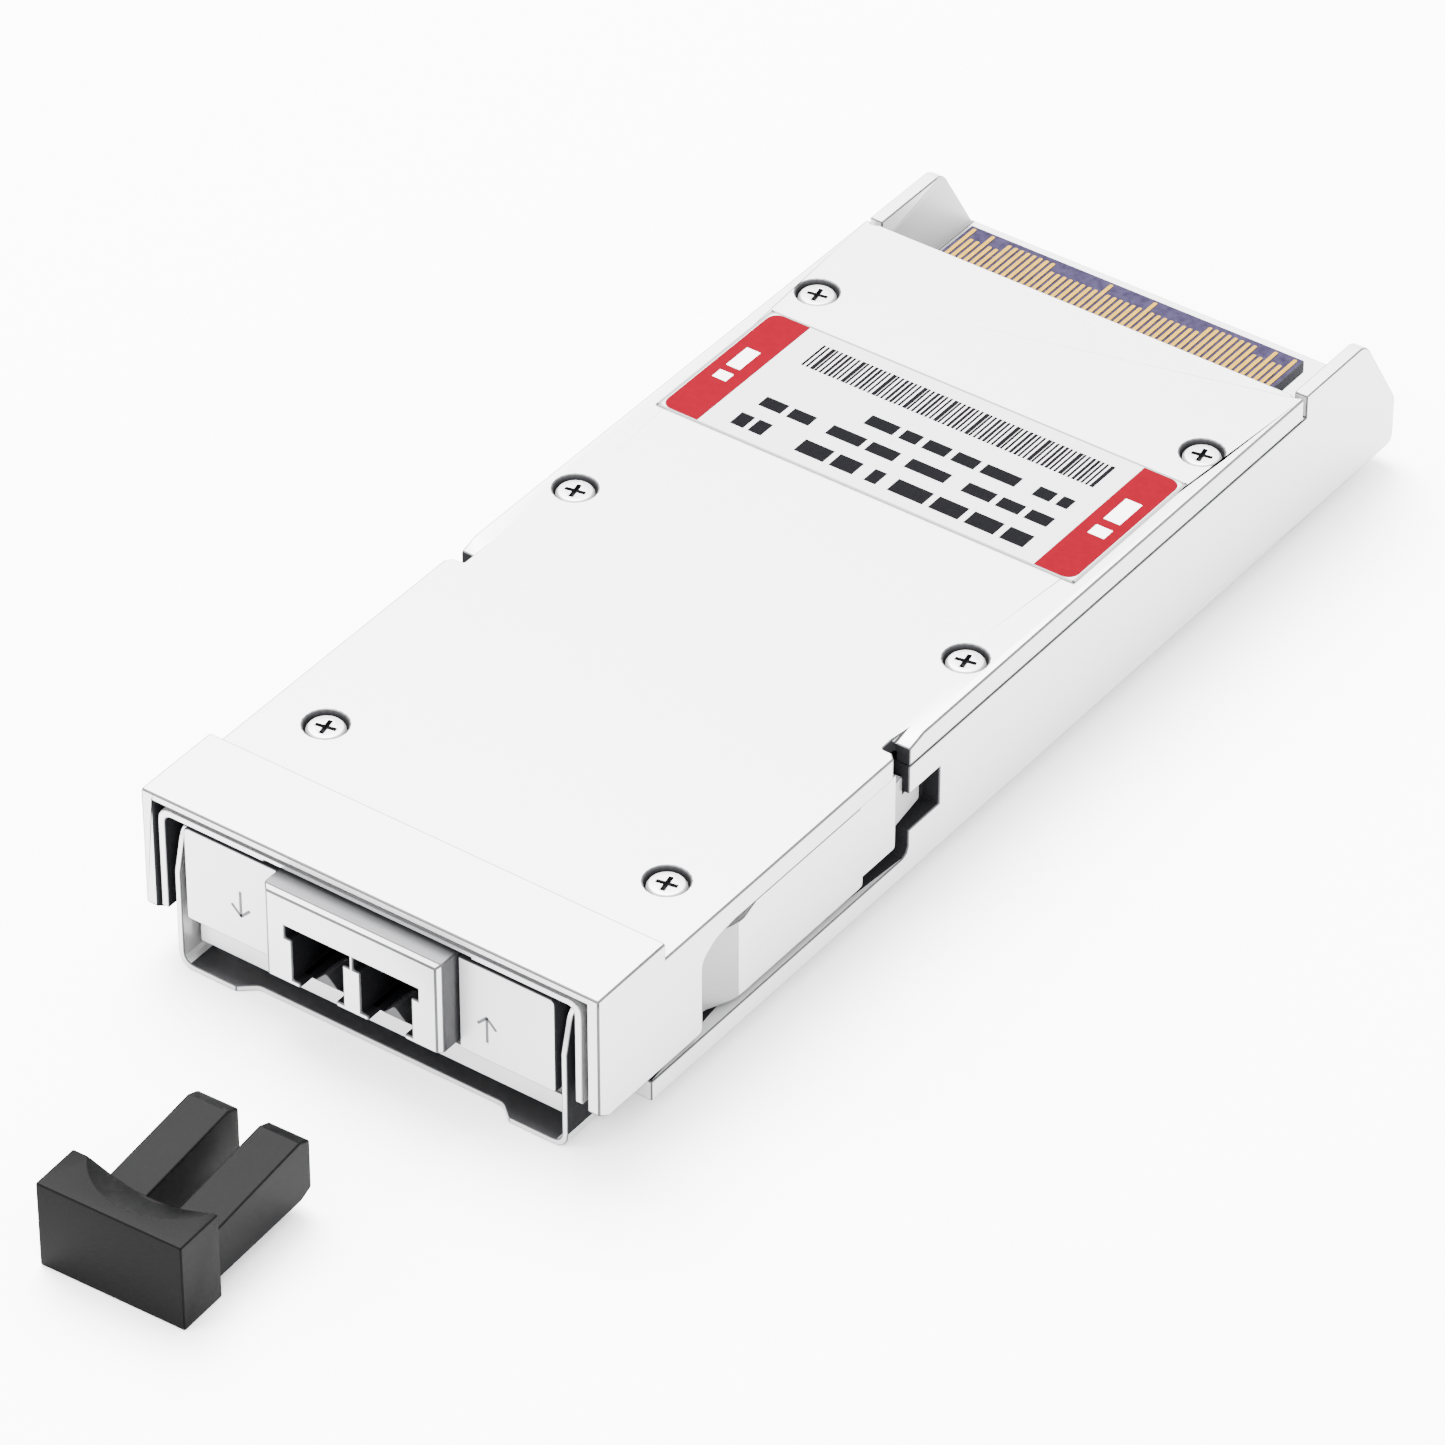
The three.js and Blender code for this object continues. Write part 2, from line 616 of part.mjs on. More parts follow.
function makeSlider() {
  const { out, gauge, strap, top, under, hem } = SLIDER;
  const bow = [
    [-out, hem, 0.1],
    [-out + gauge, hem],
    [-out + gauge, under, 0.7],
    [out - gauge, under, 0.7],
    [out - gauge, hem],
    [out, hem],
    [out, top, 1.3],
    [-out, top, 1.3],
  ];
  const relief = box(
    [-SLIDER_RELIEF.half, SLIDER_RELIEF.half],
    [-EPS, strap + EPS],
    [0, SLIDER_RELIEF.under],
  );
  const bowBody = cut(plateY(bow, [0, strap]), relief);
  const arms = SIDES.map((side) => {
    const ribbon = plateZ(armPlan(side), [0, HEAD.top]);
    return ribbon.intersect(plateX(armSide, [-HALF, HALF])).subtract(
      box([-HALF, HALF], [-EPS, strap / 2], [0, HEAD.top]),
    );
  });
  const lugs = SIDES.map((side) =>
    box(
      spanX(side, LUG.inner, out - gauge / 2),
      [LUG.front, LUG.front + LUG.thick],
      [LUG.low, LUG.high],
    ),
  );
  return join(bowBody, ...arms, ...lugs);
}
addSteel("latch_slider", makeSlider());

function makeBail() {
  const { out, gauge, width, low, top, bend } = BAIL;
  const inner = out - gauge;
  const bow = [
    [-out, top],
    [-out, low, bend + gauge],
    [out, low, bend + gauge],
    [out, top],
    [inner, top],
    [inner, low + gauge, bend],
    [-inner, low + gauge, bend],
    [-inner, top],
  ];
  const side = [
    [0, low - EPS],
    [width, low - EPS],
    [width, PIVOT.z - 0.6, 1.2],
    [width - 0.3, top, 1.4],
    [0.9, top, 1.1],
    [0, PIVOT.z - 1.6],
  ];
  const body = plateY(bow, [0, width]).intersect(plateX(side, [-HALF, HALF]));
  const { wideFrom, narrowTo, setBack } = BAIL_WEB;
  const jog = [
    [-wideFrom, 0],
    [-wideFrom, -EPS],
    [wideFrom, -EPS],
    [wideFrom, 0],
    [narrowTo, setBack, 0.4],
    [-narrowTo, setBack, 0.4],
  ];
  const holes = rodX(PIVOT.hole, PIVOT.y, PIVOT.z, [-HALF, HALF]);
  return cut(body, plateZ(jog, [low - EPS, 0]), holes);
}
addSteel("bail", makeBail());

// The path of a spring's wire, lying along Y.
class Helix extends THREE.Curve {
  constructor(x, start, end) {
    super();
    this.x = x;
    this.start = start;
    this.end = end;
  }

  getPoint(t, target = new THREE.Vector3()) {
    const angle = t * SPRING.turns * 2 * Math.PI;
    return target.set(
      this.x + SPRING.radius * Math.cos(angle),
      this.start + t * (this.end - this.start),
      BEAM_Z + SPRING.radius * Math.sin(angle),
    );
  }
}

SIDES.forEach((side) => {
  const name = side < 0 ? "left" : "right";
  const shank = rodX(PIVOT.pin, PIVOT.y, PIVOT.z, spanX(side, PLATE.half - 1.2, BAIL.out + 0.2));
  const headStart = BAIL.out + 0.08;
  const head = rodX(
    PIVOT.head,
    PIVOT.y,
    PIVOT.z,
    spanX(side, headStart, headStart + PIVOT.headHigh),
  );
  addSteel(`bail_pin_${name}`, join(shank, head));

  // A compression spring between the front plate and the slider's lug.
  const start = PLATE.thick + FIT + SPRING.wire;
  const end = LUG.front - FIT - SPRING.wire;
  const section = new THREE.Shape().absarc(0, 0, SPRING.wire, 0, 2 * Math.PI);
  const coil = new THREE.ExtrudeGeometry(section, {
    extrudePath: new Helix(side * SPRING.x, start, end),
    steps: SPRING.turns * 9,
    curveSegments: 3,
    bevelEnabled: false,
  });
  addSteel(`return_spring_${name}`, solidOf(coil));
});

// ---------------------------------------------------------------- circuit board

const boardUnder = BOARD.top - BOARD.thick;
addMesh(
  "main_board",
  box([-BOARD.half, BOARD.half], [BOARD.front, BOARD.end], [boardUnder, BOARD.top]),
  0x413d68,
  0.45,
  0.1,
);

// Contacts mate in turn, so each pad ends at one of three lines near the board's edge.
const CONTACT_END = { early: 99.35, middle: 99.1, late: 98.05 };
const CONTACT_RUNS = [
  ["early", 1],
  ["late", 2],
  ["early", 1],
  ["late", 2],
  ["middle", 8],
  ["late", 8],
  ["early", 1],
  ["late", 6],
  ["early", 1],
  ["late", 8],
  ["middle", 8],
  ["late", 2],
  ["early", 1],
  ["late", 2],
  ["early", 1],
];

function makeContacts(z0) {
  const span = [z0, z0 + CONTACT.thick];
  const ends = CONTACT_RUNS.flatMap(([kind, count]) => Array(count).fill(CONTACT_END[kind]));
  const reach = ((CONTACT.count - 1) * CONTACT.pitch + CONTACT.wide) / 2;
  const bar = box([-reach, reach], [CONTACT.front - CONTACT.bar, CONTACT.front + FIT], span);
  const pads = ends.map((end, i) => {
    const x = (i - (CONTACT.count - 1) / 2) * CONTACT.pitch;
    return box([x - CONTACT.wide / 2, x + CONTACT.wide / 2], [CONTACT.front, end], span);
  });
  return join(bar, ...pads);
}
addGold("contact_row_top", makeContacts(BOARD.top));
addGold("contact_row_bottom", makeContacts(boardUnder - CONTACT.thick));

const CHIPS = [
  { name: "signal_processor", x: 0, y: 62, wide: 15, long: 15, high: 1.1 },
  { name: "laser_driver", x: 4.5, y: 46, wide: 5, long: 4, high: 0.8 },
  { name: "receive_amplifier", x: -4.5, y: 46, wide: 5, long: 4, high: 0.8 },
  { name: "controller", x: -9, y: 79, wide: 7, long: 7, high: 0.9 },
  { name: "power_converter", x: 8.5, y: 79.5, wide: 8, long: 7, high: 1.4 },
  { name: "clock_crystal", x: -2, y: 79, wide: 3.2, long: 2.5, high: 0.9 },
  { name: "inductor_left", x: 11.6, y: 68, wide: 4, long: 4, high: 1.5 },
  { name: "inductor_right", x: 11.6, y: 55, wide: 4, long: 4, high: 1.5 },
];
const onBoard = ({ x, y, wide, long, high }, base = BOARD.top) =>
  box([x - wide / 2, x + wide / 2], [y - long / 2, y + long / 2], [base, base + high]);
CHIPS.forEach((chip) => addChip(chip.name, onBoard(chip)));

const processorTop = BOARD.top + CHIPS[0].high;
const pad = { ...CHIPS[0], wide: 14, long: 14, high: LID_UNDER - FIT - processorTop };
addMesh("thermal_pad_processor", onBoard(pad, processorTop), 0x9aa0a8, 0.9, 0);
const opticTop = BEAM_Z + OPTIC.high / 2;
addMesh(
  "thermal_pad_optics",
  box(
    [-PAD_OPTICS.half, PAD_OPTICS.half],
    [PAD_OPTICS.front, PAD_OPTICS.end],
    [opticTop, LID_UNDER - FIT],
  ),
  0x9aa0a8,
  0.9,
  0,
);

// ---------------------------------------------------------------- dust plug

// The loose plug, drawn from its own front bottom edge and turned a little on the table.
function makePlug() {
  const { wide, high, deep, corner } = PLUG;
  const half = wide / 2;
  const headSide = [
    [0, 0, corner],
    [deep, 0, corner],
    [deep, high, corner],
    [0, high, corner],
  ];
  const { x, y, top, foot, drop } = SCOOP;
  const slope = (top - foot) / drop;
  const coneHigh = drop + EPS;
  const cone = new THREE.CylinderGeometry(top + slope * EPS, foot, coneHigh, 48);
  cone.rotateX(Math.PI / 2).translate(x, y, high - drop + coneHigh / 2);
  const head = cut(plateX(headSide, [-half, half]), solidOf(cone));

  const { low, long, tip, shift } = PRONG;
  const start = deep - PRONG_ROOT.under;
  const tipSide = [
    [start, low],
    [deep + long - tip, low],
    [deep + long, low + 0.4 * tip, corner],
    [deep + long, PRONG.high - 0.4 * tip, corner],
    [deep + long - tip, PRONG.high],
    [start, PRONG.high - PRONG_ROOT.drop],
  ];
  const prongs = SIDES.map((side) => {
    const centre = (side * PITCH) / 2 + shift;
    return plateX(tipSide, [centre - PRONG.wide / 2, centre + PRONG.wide / 2]);
  });
  return join(head, ...prongs);
}

const table = new THREE.Group();
table.position.set(PLUG.x, PLUG.y, BAIL.low);
table.rotation.z = THREE.MathUtils.degToRad(PLUG.yaw);
module.add(table);
addMesh("dust_plug", makePlug(), 0x2a2a2c, 0.45, 0, table);

export default part;
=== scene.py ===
# %% [markdown]
# A pluggable optical module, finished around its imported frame
#
# The module is a small sandwich of nickel-plated castings. The frame already holds every part at its
# real size and place, so this lesson only adds what the eye needs: rounded edges that catch light,
# grain in each metal, print on the label, gold pads on the board and a moulded dust plug.
# Each step says what the piece is, how it could be made, and why it is made this way.

import json
import math

import bpy
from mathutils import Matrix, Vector

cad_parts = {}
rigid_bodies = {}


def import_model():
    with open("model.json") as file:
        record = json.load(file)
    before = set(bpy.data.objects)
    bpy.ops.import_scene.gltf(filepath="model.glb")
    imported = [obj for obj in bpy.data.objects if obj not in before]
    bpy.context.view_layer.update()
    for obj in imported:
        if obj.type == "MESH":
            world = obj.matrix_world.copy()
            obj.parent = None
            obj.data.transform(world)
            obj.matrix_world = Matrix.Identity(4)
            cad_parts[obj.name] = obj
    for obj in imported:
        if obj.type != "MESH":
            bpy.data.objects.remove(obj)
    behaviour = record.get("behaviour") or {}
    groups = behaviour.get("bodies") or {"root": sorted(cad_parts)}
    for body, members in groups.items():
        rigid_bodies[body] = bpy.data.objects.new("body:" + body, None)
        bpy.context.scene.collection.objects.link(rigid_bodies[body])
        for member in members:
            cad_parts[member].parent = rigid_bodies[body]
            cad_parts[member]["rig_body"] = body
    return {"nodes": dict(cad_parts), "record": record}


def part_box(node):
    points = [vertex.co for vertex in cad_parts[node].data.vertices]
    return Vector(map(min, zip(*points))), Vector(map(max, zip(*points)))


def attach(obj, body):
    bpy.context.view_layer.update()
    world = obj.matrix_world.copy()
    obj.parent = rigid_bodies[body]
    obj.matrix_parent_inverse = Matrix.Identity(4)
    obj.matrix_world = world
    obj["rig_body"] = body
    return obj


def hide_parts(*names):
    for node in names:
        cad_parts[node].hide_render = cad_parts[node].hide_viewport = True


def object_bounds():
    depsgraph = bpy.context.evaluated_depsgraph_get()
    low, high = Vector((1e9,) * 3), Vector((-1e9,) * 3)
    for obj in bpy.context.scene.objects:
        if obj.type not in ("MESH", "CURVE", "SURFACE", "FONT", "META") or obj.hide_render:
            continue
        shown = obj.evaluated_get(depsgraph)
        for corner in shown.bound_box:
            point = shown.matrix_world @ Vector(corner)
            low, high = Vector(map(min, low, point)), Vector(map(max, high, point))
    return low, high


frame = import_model()
cad_low, cad_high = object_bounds()
nodes = frame["nodes"]
body_of = {node: nodes[node]["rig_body"] for node in nodes}
slot_of = {row["node"]: row["material_slot"] for row in frame["record"]["subparts"]}
MM = 0.001

# %% [markdown]
# The camera
#
# The module is seen from in front and above, from the right, through a long lens that keeps its
# edges nearly parallel. A camera can be placed by hand or by an angle and a distance from a point
# that it looks at. The second is used, because the angle and the lens can then be read and changed
# one at a time.

# %% Camera
LENS_MM = 216.0
CAMERA_TURN = math.radians(35.906)
CAMERA_RISE = math.radians(38.146)
CAMERA_DISTANCE = 631.8 * MM
AIM = Vector((11.86, -26.24, 17.31)) * MM
SENSOR_MM = 36
NEAREST_SEEN = 10 * MM

towards_camera = Vector(
    (
        math.sin(CAMERA_TURN) * math.cos(CAMERA_RISE),
        -math.cos(CAMERA_TURN) * math.cos(CAMERA_RISE),
        math.sin(CAMERA_RISE),
    )
)
bpy.ops.object.camera_add(
    location=AIM + CAMERA_DISTANCE * towards_camera,
    rotation=(math.pi / 2 - CAMERA_RISE, 0, CAMERA_TURN),
)
camera = bpy.context.object
camera.data.lens = LENS_MM
camera.data.sensor_width = SENSOR_MM
camera.data.clip_start = NEAREST_SEEN
bpy.context.scene.camera = camera
print("camera stands", round(camera.location.length, 3), "m from the part's origin")

# %% [markdown]
# Finishes
#
# No real surface is one flat colour. Cast and plated metal has a faint orange peel, rolled sheet has
# lines along the way it was rolled, and moulded plastic has a spark texture. One helper makes them
# all: noise in object space, stretched along the grain, drives a little colour, some roughness and
# a shallow bump. Object space is used because these pieces have no seams worth unwrapping.

# %% Material helper
NOISE_DETAIL = 4.0
NOISE_ROUGHNESS = 0.6
NOISE_LOW, NOISE_HIGH = 0.3, 0.7  # the part of the noise that the colour swings over
RELIEF_DEPTH = 0.02 * MM


def add_node(tree, kind, **values):
    node = tree.nodes.new(kind)
    for name, value in values.items():
        node.inputs[name.replace("_", " ")].default_value = value
    return node


def grained(name, color, metallic, roughness, grain, swing=0.05, rough_swing=0.1, bump=0.1, **extra):
    """A material whose colour, roughness and bump follow one noise.

    grain is the noise's pitch in mm along X, Y and Z, swing and rough_swing are how far it moves the
    colour and the roughness, and extra names any other sockets of the shader.
    """
    material = bpy.data.materials.new(name)
    material.use_nodes = True
    tree = material.node_tree
    shader = tree.nodes["Principled BSDF"]
    shader.inputs["Metallic"].default_value = metallic
    for socket, value in extra.items():
        shader.inputs[socket.replace("_", " ")].default_value = value

    place = tree.nodes.new("ShaderNodeTexCoord")
    stretch = tree.nodes.new("ShaderNodeMapping")
    stretch.inputs["Scale"].default_value = [1 / (pitch * MM) for pitch in grain]
    noise = add_node(tree, "ShaderNodeTexNoise", Scale=1.0, Detail=NOISE_DETAIL, Roughness=NOISE_ROUGHNESS)
    tree.links.new(place.outputs["Object"], stretch.inputs["Vector"])
    tree.links.new(stretch.outputs["Vector"], noise.inputs["Vector"])

    tint = tree.nodes.new("ShaderNodeValToRGB")
    tint.color_ramp.elements[0].position = NOISE_LOW
    tint.color_ramp.elements[1].position = NOISE_HIGH
    tint.color_ramp.elements[0].color = [channel * (1 - swing) for channel in color] + [1]
    tint.color_ramp.elements[1].color = [min(1, channel * (1 + swing)) for channel in color] + [1]
    tree.links.new(noise.outputs["Fac"], tint.inputs["Fac"])
    tree.links.new(tint.outputs["Color"], shader.inputs["Base Color"])

    spread = add_node(
        tree, "ShaderNodeMapRange", To_Min=roughness - rough_swing, To_Max=roughness + rough_swing
    )
    tree.links.new(noise.outputs["Fac"], spread.inputs["Value"])
    tree.links.new(spread.outputs["Result"], shader.inputs["Roughness"])

    relief = add_node(tree, "ShaderNodeBump", Strength=bump, Distance=RELIEF_DEPTH)
    tree.links.new(noise.outputs["Fac"], relief.inputs["Height"])
    tree.links.new(relief.outputs["Normal"], shader.inputs["Normal"])
    return material


# %% Metal finishes
CAST_GRAIN = (0.35, 0.35, 0.35)
SHEET_GRAIN = (3.0, 3.0, 0.12)
MATT = {"Specular_IOR_Level": 0.0}
DULL = {"Specular_IOR_Level": 0.12}

plated = grained("plated_casting", (0.43, 0.43, 0.435), 0.5, 0.42, CAST_GRAIN, 0.015, 0.05)
# A darker copy of the plated finish: painted shade inside the tray's ears.
plated_shade = grained("plated_inside_shade", (0.24, 0.24, 0.245), 0.5, 0.42, CAST_GRAIN, 0.03, 0.05)
# Painted dark reflection along the castings' rounded edges.
plated_edge_shade = grained("plated_edge_shade", (0.018, 0.018, 0.02), 0.3, 0.4, (0.2, 0.2, 0.2), 0.15, 0.1)
rolled = grained("rolled_sheet", (0.42, 0.42, 0.425), 0.7, 0.33, SHEET_GRAIN, 0.03, 0.06)
# Painted dark reflection along the sheet parts' rounded edges.
rolled_edge_shade = grained("sheet_edge_shade", (0.035, 0.035, 0.038), 0.4, 0.35, (0.3, 0.3, 0.3), 0.1)
# Painted shade on the slider's bends, where the bent sheet turns away from the light.
bend_shade = grained("sheet_bend_shade", (0.16, 0.16, 0.163), 0.7, 0.3, SHEET_GRAIN, 0.06, 0.06)
# Painted shade for the screw wells, the bail's web under the module, the block and the port ramps.
deep_shade = grained("painted_deep_shade", (0.024, 0.024, 0.026), 0.6, 0.4, SHEET_GRAIN, 0.1, 0.06)
zinc = grained("screw_zinc", (0.38, 0.38, 0.385), 0.6, 0.38, (0.5, 0.5, 0.1), 0.04, 0.08, 0.2)
gold = grained("contact_gold", (0.27, 0.155, 0.012), 1.0, 0.3, (0.15, 0.8, 0.3), 0.06, 0.08)
wire = grained("spring_wire", (0.40, 0.40, 0.42), 0.9, 0.3, (0.2, 0.2, 0.2), 0.05)
gilt = grained("gilt_package", (0.60, 0.40, 0.14), 0.9, 0.35, (0.3, 0.3, 0.3), 0.05)
can = grained("plated_can", (0.42, 0.40, 0.36), 0.9, 0.3, (0.3, 0.3, 0.3), 0.05)

# %% Dark finishes for recesses and ports
# Painted shade for recesses, gaps and the inside of the head.
recess_shade = grained(
    "recess_shadow", (0.01, 0.01, 0.011), 0.1, 0.6, (0.2, 0.2, 0.2), 0.2, **MATT
)
port_shade = grained(
    "port_shade", (0.004, 0.004, 0.0045), 0.0, 0.6, (0.15, 0.15, 0.15), 0.2, **MATT
)
engraving = grained(
    "engraved_mark", (0.06, 0.06, 0.065), 0.1, 0.5, (0.2, 0.2, 0.2), 0.15, 0.1, **DULL
)

# %% Board and label finishes
mask = grained(
    "solder_mask", (0.018, 0.015, 0.030), 0.0, 0.4, (0.7, 0.7, 0.7), 0.35, 0.1, 0.15, **MATT
)
laminate = grained(
    "board_edge", (0.010, 0.010, 0.015), 0.0, 0.6, (1.2, 1.2, 0.1), 0.4, 0.1, 0.3, **DULL
)
film = grained("label_film", (0.33, 0.33, 0.335), 0.05, 0.45, (0.8, 0.8, 0.8), 0.02, 0.05, 0.05)
red_print = grained(
    "label_red", (0.075, 0.0014, 0.0050), 0.0, 0.45, (0.5, 0.5, 0.5), 0.06, 0.06, 0.06, **MATT
)
black_print = grained(
    "label_ink", (0.004, 0.004, 0.0045), 0.0, 0.5, (0.2, 0.2, 0.2), 0.2, 0.1, 0.1, **MATT
)
outline_grey = grained("label_grey", (0.10, 0.10, 0.105), 0.0, 0.5, (0.2, 0.2, 0.2), 0.1)
pale_print = grained("label_pale", (0.60, 0.59, 0.59), 0.0, 0.5, (0.3, 0.3, 0.3), 0.03, 0.1, 0.05)

# %% Moulded, rubber and ceramic finishes
SPARK_GRAIN = (0.16, 0.16, 0.16)
plug_black = grained(
    "plug_black", (0.0012, 0.0012, 0.0013), 0.0, 0.4, SPARK_GRAIN, 0.15, 0.1, 0.35,
    Specular_IOR_Level=0.022,
)
plug_edge = grained(
    "plug_edge", (0.001, 0.001, 0.001), 0.0, 0.5, (0.1, 0.1, 0.1), 0.1, Specular_IOR_Level=0.02
)
silicone = grained("conductive_silicone", (0.05, 0.05, 0.055), 0.1, 0.8, (0.1, 0.1, 0.1), 0.25)
zirconia = grained("zirconia", (0.60, 0.59, 0.56), 0.0, 0.25, (0.2, 0.2, 0.2), 0.02, 0.05)
polyimide = grained("polyimide", (0.20, 0.06, 0.01), 0.0, 0.4, (0.1, 1.5, 0.3), 0.2)
epoxy = grained(
    "moulded_epoxy", (0.012, 0.012, 0.013), 0.0, 0.6, (0.1, 0.1, 0.1), 0.25, 0.1, 0.3, **DULL
)
gap_pad = grained("gap_pad", (0.18, 0.20, 0.22), 0.0, 0.85, (0.3, 0.3, 0.3), 0.1, 0.05, 0.4)
ferrite = grained("ferrite", (0.04, 0.04, 0.045), 0.1, 0.7, (0.15, 0.15, 0.15), 0.2, 0.1, 0.4)

# %% The finish of each node, by its slot in the frame's record
HIDDEN_FINISHES = {
    "spring_steel": wire,
    "gasket_rubber": silicone,
    "sleeve_ceramic": zirconia,
    "gilt_metal": gilt,
    "flex_film": polyimide,
    "chip_package": epoxy,
    "thermal_pad": gap_pad,
    "crystal_can": can,
    "ferrite": ferrite,
    "contact_gold": gold,
    "bail_steel": rolled,
}
for node, piece in nodes.items():
    piece.data.materials.clear()
    piece.data.materials.append(HIDDEN_FINISHES.get(slot_of[node], plated))
print(len(bpy.data.materials), "finishes")

# %% [markdown]
# Working on one piece at a time
#
# Operators act on whatever is selected, so each step first makes its own piece the only one. The
# small helpers below do that, apply a piece's modifiers, and hand the finished piece to the frame:
# which body carries it and which nodes it stands for.

# %% Helpers
SMOOTH_BELOW = math.radians(20)


def only(*pieces):
    bpy.ops.object.select_all(action="DESELECT")
    for piece in pieces:
        piece.select_set(True)
    bpy.context.view_layer.objects.active = pieces[0]


def apply_all(piece):
    only(piece)
    for modifier in list(piece.modifiers):
        bpy.ops.object.modifier_apply(modifier=modifier.name)


def edit(piece, *steps):
    """Runs the steps in edit mode with everything on the piece selected."""
    only(piece)
    bpy.ops.object.mode_set(mode="EDIT")
    bpy.ops.mesh.select_all(action="SELECT")
    for step in steps:
        step()
    bpy.ops.object.mode_set(mode="OBJECT")


def settle(piece):
    """Moves the piece's place into its mesh."""
    only(piece)
    bpy.ops.object.transform_apply(location=True, rotation=True, scale=True)


def hand_over(piece, body, slot, *replaced):
    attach(piece, body)
    if replaced:
        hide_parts(*replaced)
    print(piece.name, "rides on", body, "with", len(piece.data.polygons), "faces")


def dress(piece, *materials):
    piece.data.materials.clear()
    for material in materials:
        piece.data.materials.append(material)


def add_box(name, low, high):
    centre = (Vector(low) + Vector(high)) / 2
    bpy.ops.mesh.primitive_cube_add(size=1, location=centre, scale=Vector(high) - Vector(low))
    piece = bpy.context.object
    piece.name = name
    settle(piece)
    return piece


def round_edges(piece, width, segments=2, angle=35, edge_material=-1):
    bevel = piece.modifiers.new("round_edges", "BEVEL")
    bevel.width = width
    bevel.segments = segments
    bevel.limit_method = "ANGLE"
    bevel.angle_limit = math.radians(angle)
    bevel.use_clamp_overlap = False
    bevel.loop_slide = False
    bevel.material = edge_material
    apply_all(piece)
    bpy.ops.object.shade_smooth_by_angle(angle=SMOOTH_BELOW)


def round_corners(piece, width, segments, chosen):
    """Rounds only the edges whose two ends chosen(a, b) picks."""
    weights = piece.data.attributes.new("bevel_weight_edge", "FLOAT", "EDGE")
    for edge in piece.data.edges:
        a, b = (piece.data.vertices[end].co for end in edge.vertices)
        weights.data[edge.index].value = 1.0 if chosen(a, b) else 0.0
    rounding = piece.modifiers.new("round_corners", "BEVEL")
    rounding.width = width
    rounding.segments = segments
    rounding.limit_method = "WEIGHT"
    apply_all(piece)


def join_pieces(name, pieces):
    only(*pieces)
    bpy.ops.object.join()
    joined = bpy.context.object
    joined.name = name
    return joined


# %% [markdown]
# Castings and sheet parts with broken edges
#
# A casting that has been tumbled and plated never has a knife edge: each edge is rounded by about a
# tenth of a millimetre, and it shows as a thin line where it reflects something else. The frame's
# solids have the right shape but sharp edges. Rounding could be faked in the material, but then the
# mesh itself would stay sharp, so a copy of each solid is cleaned and bevelled. The new faces take
# a darker finish of their own, a painted dark reflection along each edge. Where three edges meet at
# a narrow angle, a bevel's tip can pass the solid, so each copy is held within the box of its own node.

# %% Broken edges
MERGE = 0.0005 * MM  # corners nearer than this are one


def broken_edge_copy(node, width, face, edge, segments=2, angle=35):
    piece = bpy.data.objects.new(node + "_finished", nodes[node].data.copy())
    bpy.context.scene.collection.objects.link(piece)
    dress(piece, face, edge)
    only(piece)
    bpy.ops.mesh.customdata_custom_splitnormals_clear()
    edit(piece, lambda: bpy.ops.mesh.remove_doubles(threshold=MERGE))
    round_edges(piece, width, segments, angle, edge_material=1)
    low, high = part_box(node)
    for vertex in piece.data.vertices:
        for axis in range(3):
            vertex.co[axis] = min(max(vertex.co[axis], low[axis]), high[axis])
    return piece


def finish_node(node, width, face, edge, segments=2, angle=35):
    piece = broken_edge_copy(node, width, face, edge, segments, angle)
    hand_over(piece, body_of[node], slot_of[node], node)
    return piece


# %% The castings, the sheet parts and the pins
COVER_EDGE = 0.15 * MM
TRAY_EDGE = 0.11 * MM
PLATE_EDGE = 0.10 * MM
SHEET_EDGE = 0.10 * MM
BAIL_EDGE = 0.09 * MM
PIN_EDGE = 0.08 * MM

cover = finish_node("top_cover", COVER_EDGE, plated, plated_edge_shade)
tray = finish_node("bottom_tray", TRAY_EDGE, plated, plated_edge_shade)
faceplate = finish_node("faceplate", PLATE_EDGE, plated, plated_edge_shade)
slider = finish_node("latch_slider", SHEET_EDGE, rolled, rolled_edge_shade)
bail = finish_node("bail", BAIL_EDGE, rolled, rolled_edge_shade)
for side in ("left", "right"):
    finish_node("bail_pin_" + side, PIN_EDGE, zinc, rolled_edge_shade)

# %% [markdown]
# Shaded insides
#
# Behind the front, under the latch's arms and in the screw wells, metal reflects little but other
# dark metal, and so it looks dark. Lamps alone could make that shade, but the soft light of this
# studio reaches into every gap. So the faces that lie inside take darker finishes of their own, a
# painted shade, and the bends of the slider's sheet and the insides of the ears take greyer painted
# shade. They are picked by where they lie and which way they face, because the copies keep no
# names for their faces.

# %% Giving chosen faces a finish
FACING = 0.9  # a face looks along an axis if its normal's share of that axis is over this
SIDEWAYS = 0.5  # and away from the axis if the share is under this
BARELY = 1e-6  # a product smaller than this is only rounding


def shade(piece, finish, chosen):
    """Gives the faces that chosen(centre, normal) picks a finish of their own."""
    piece.data.materials.append(finish)
    last = len(piece.data.materials) - 1
    picked = [face for face in piece.data.polygons if chosen(face.center, face.normal)]
    for face in picked:
        face.material_index = last
    print(piece.name, "has", len(picked), "faces in", finish.name)


def faces_outward(centre, normal):
    return normal.x * centre.x > 0


def faces_inward(centre, normal):
    return normal.x * centre.x < 0


# %% Inside the cover's head
SKIN = 0.3 * MM  # nothing nearer than this to the outside counts as inside
HEAD_DEPTH = 8.12 * MM
HEAD_FLOOR = 2.3 * MM
HEAD_ROOF = 12.0 * MM
lid_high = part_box("top_cover")[1]
half_width = lid_high.x
plate_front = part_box("faceplate")[0].y


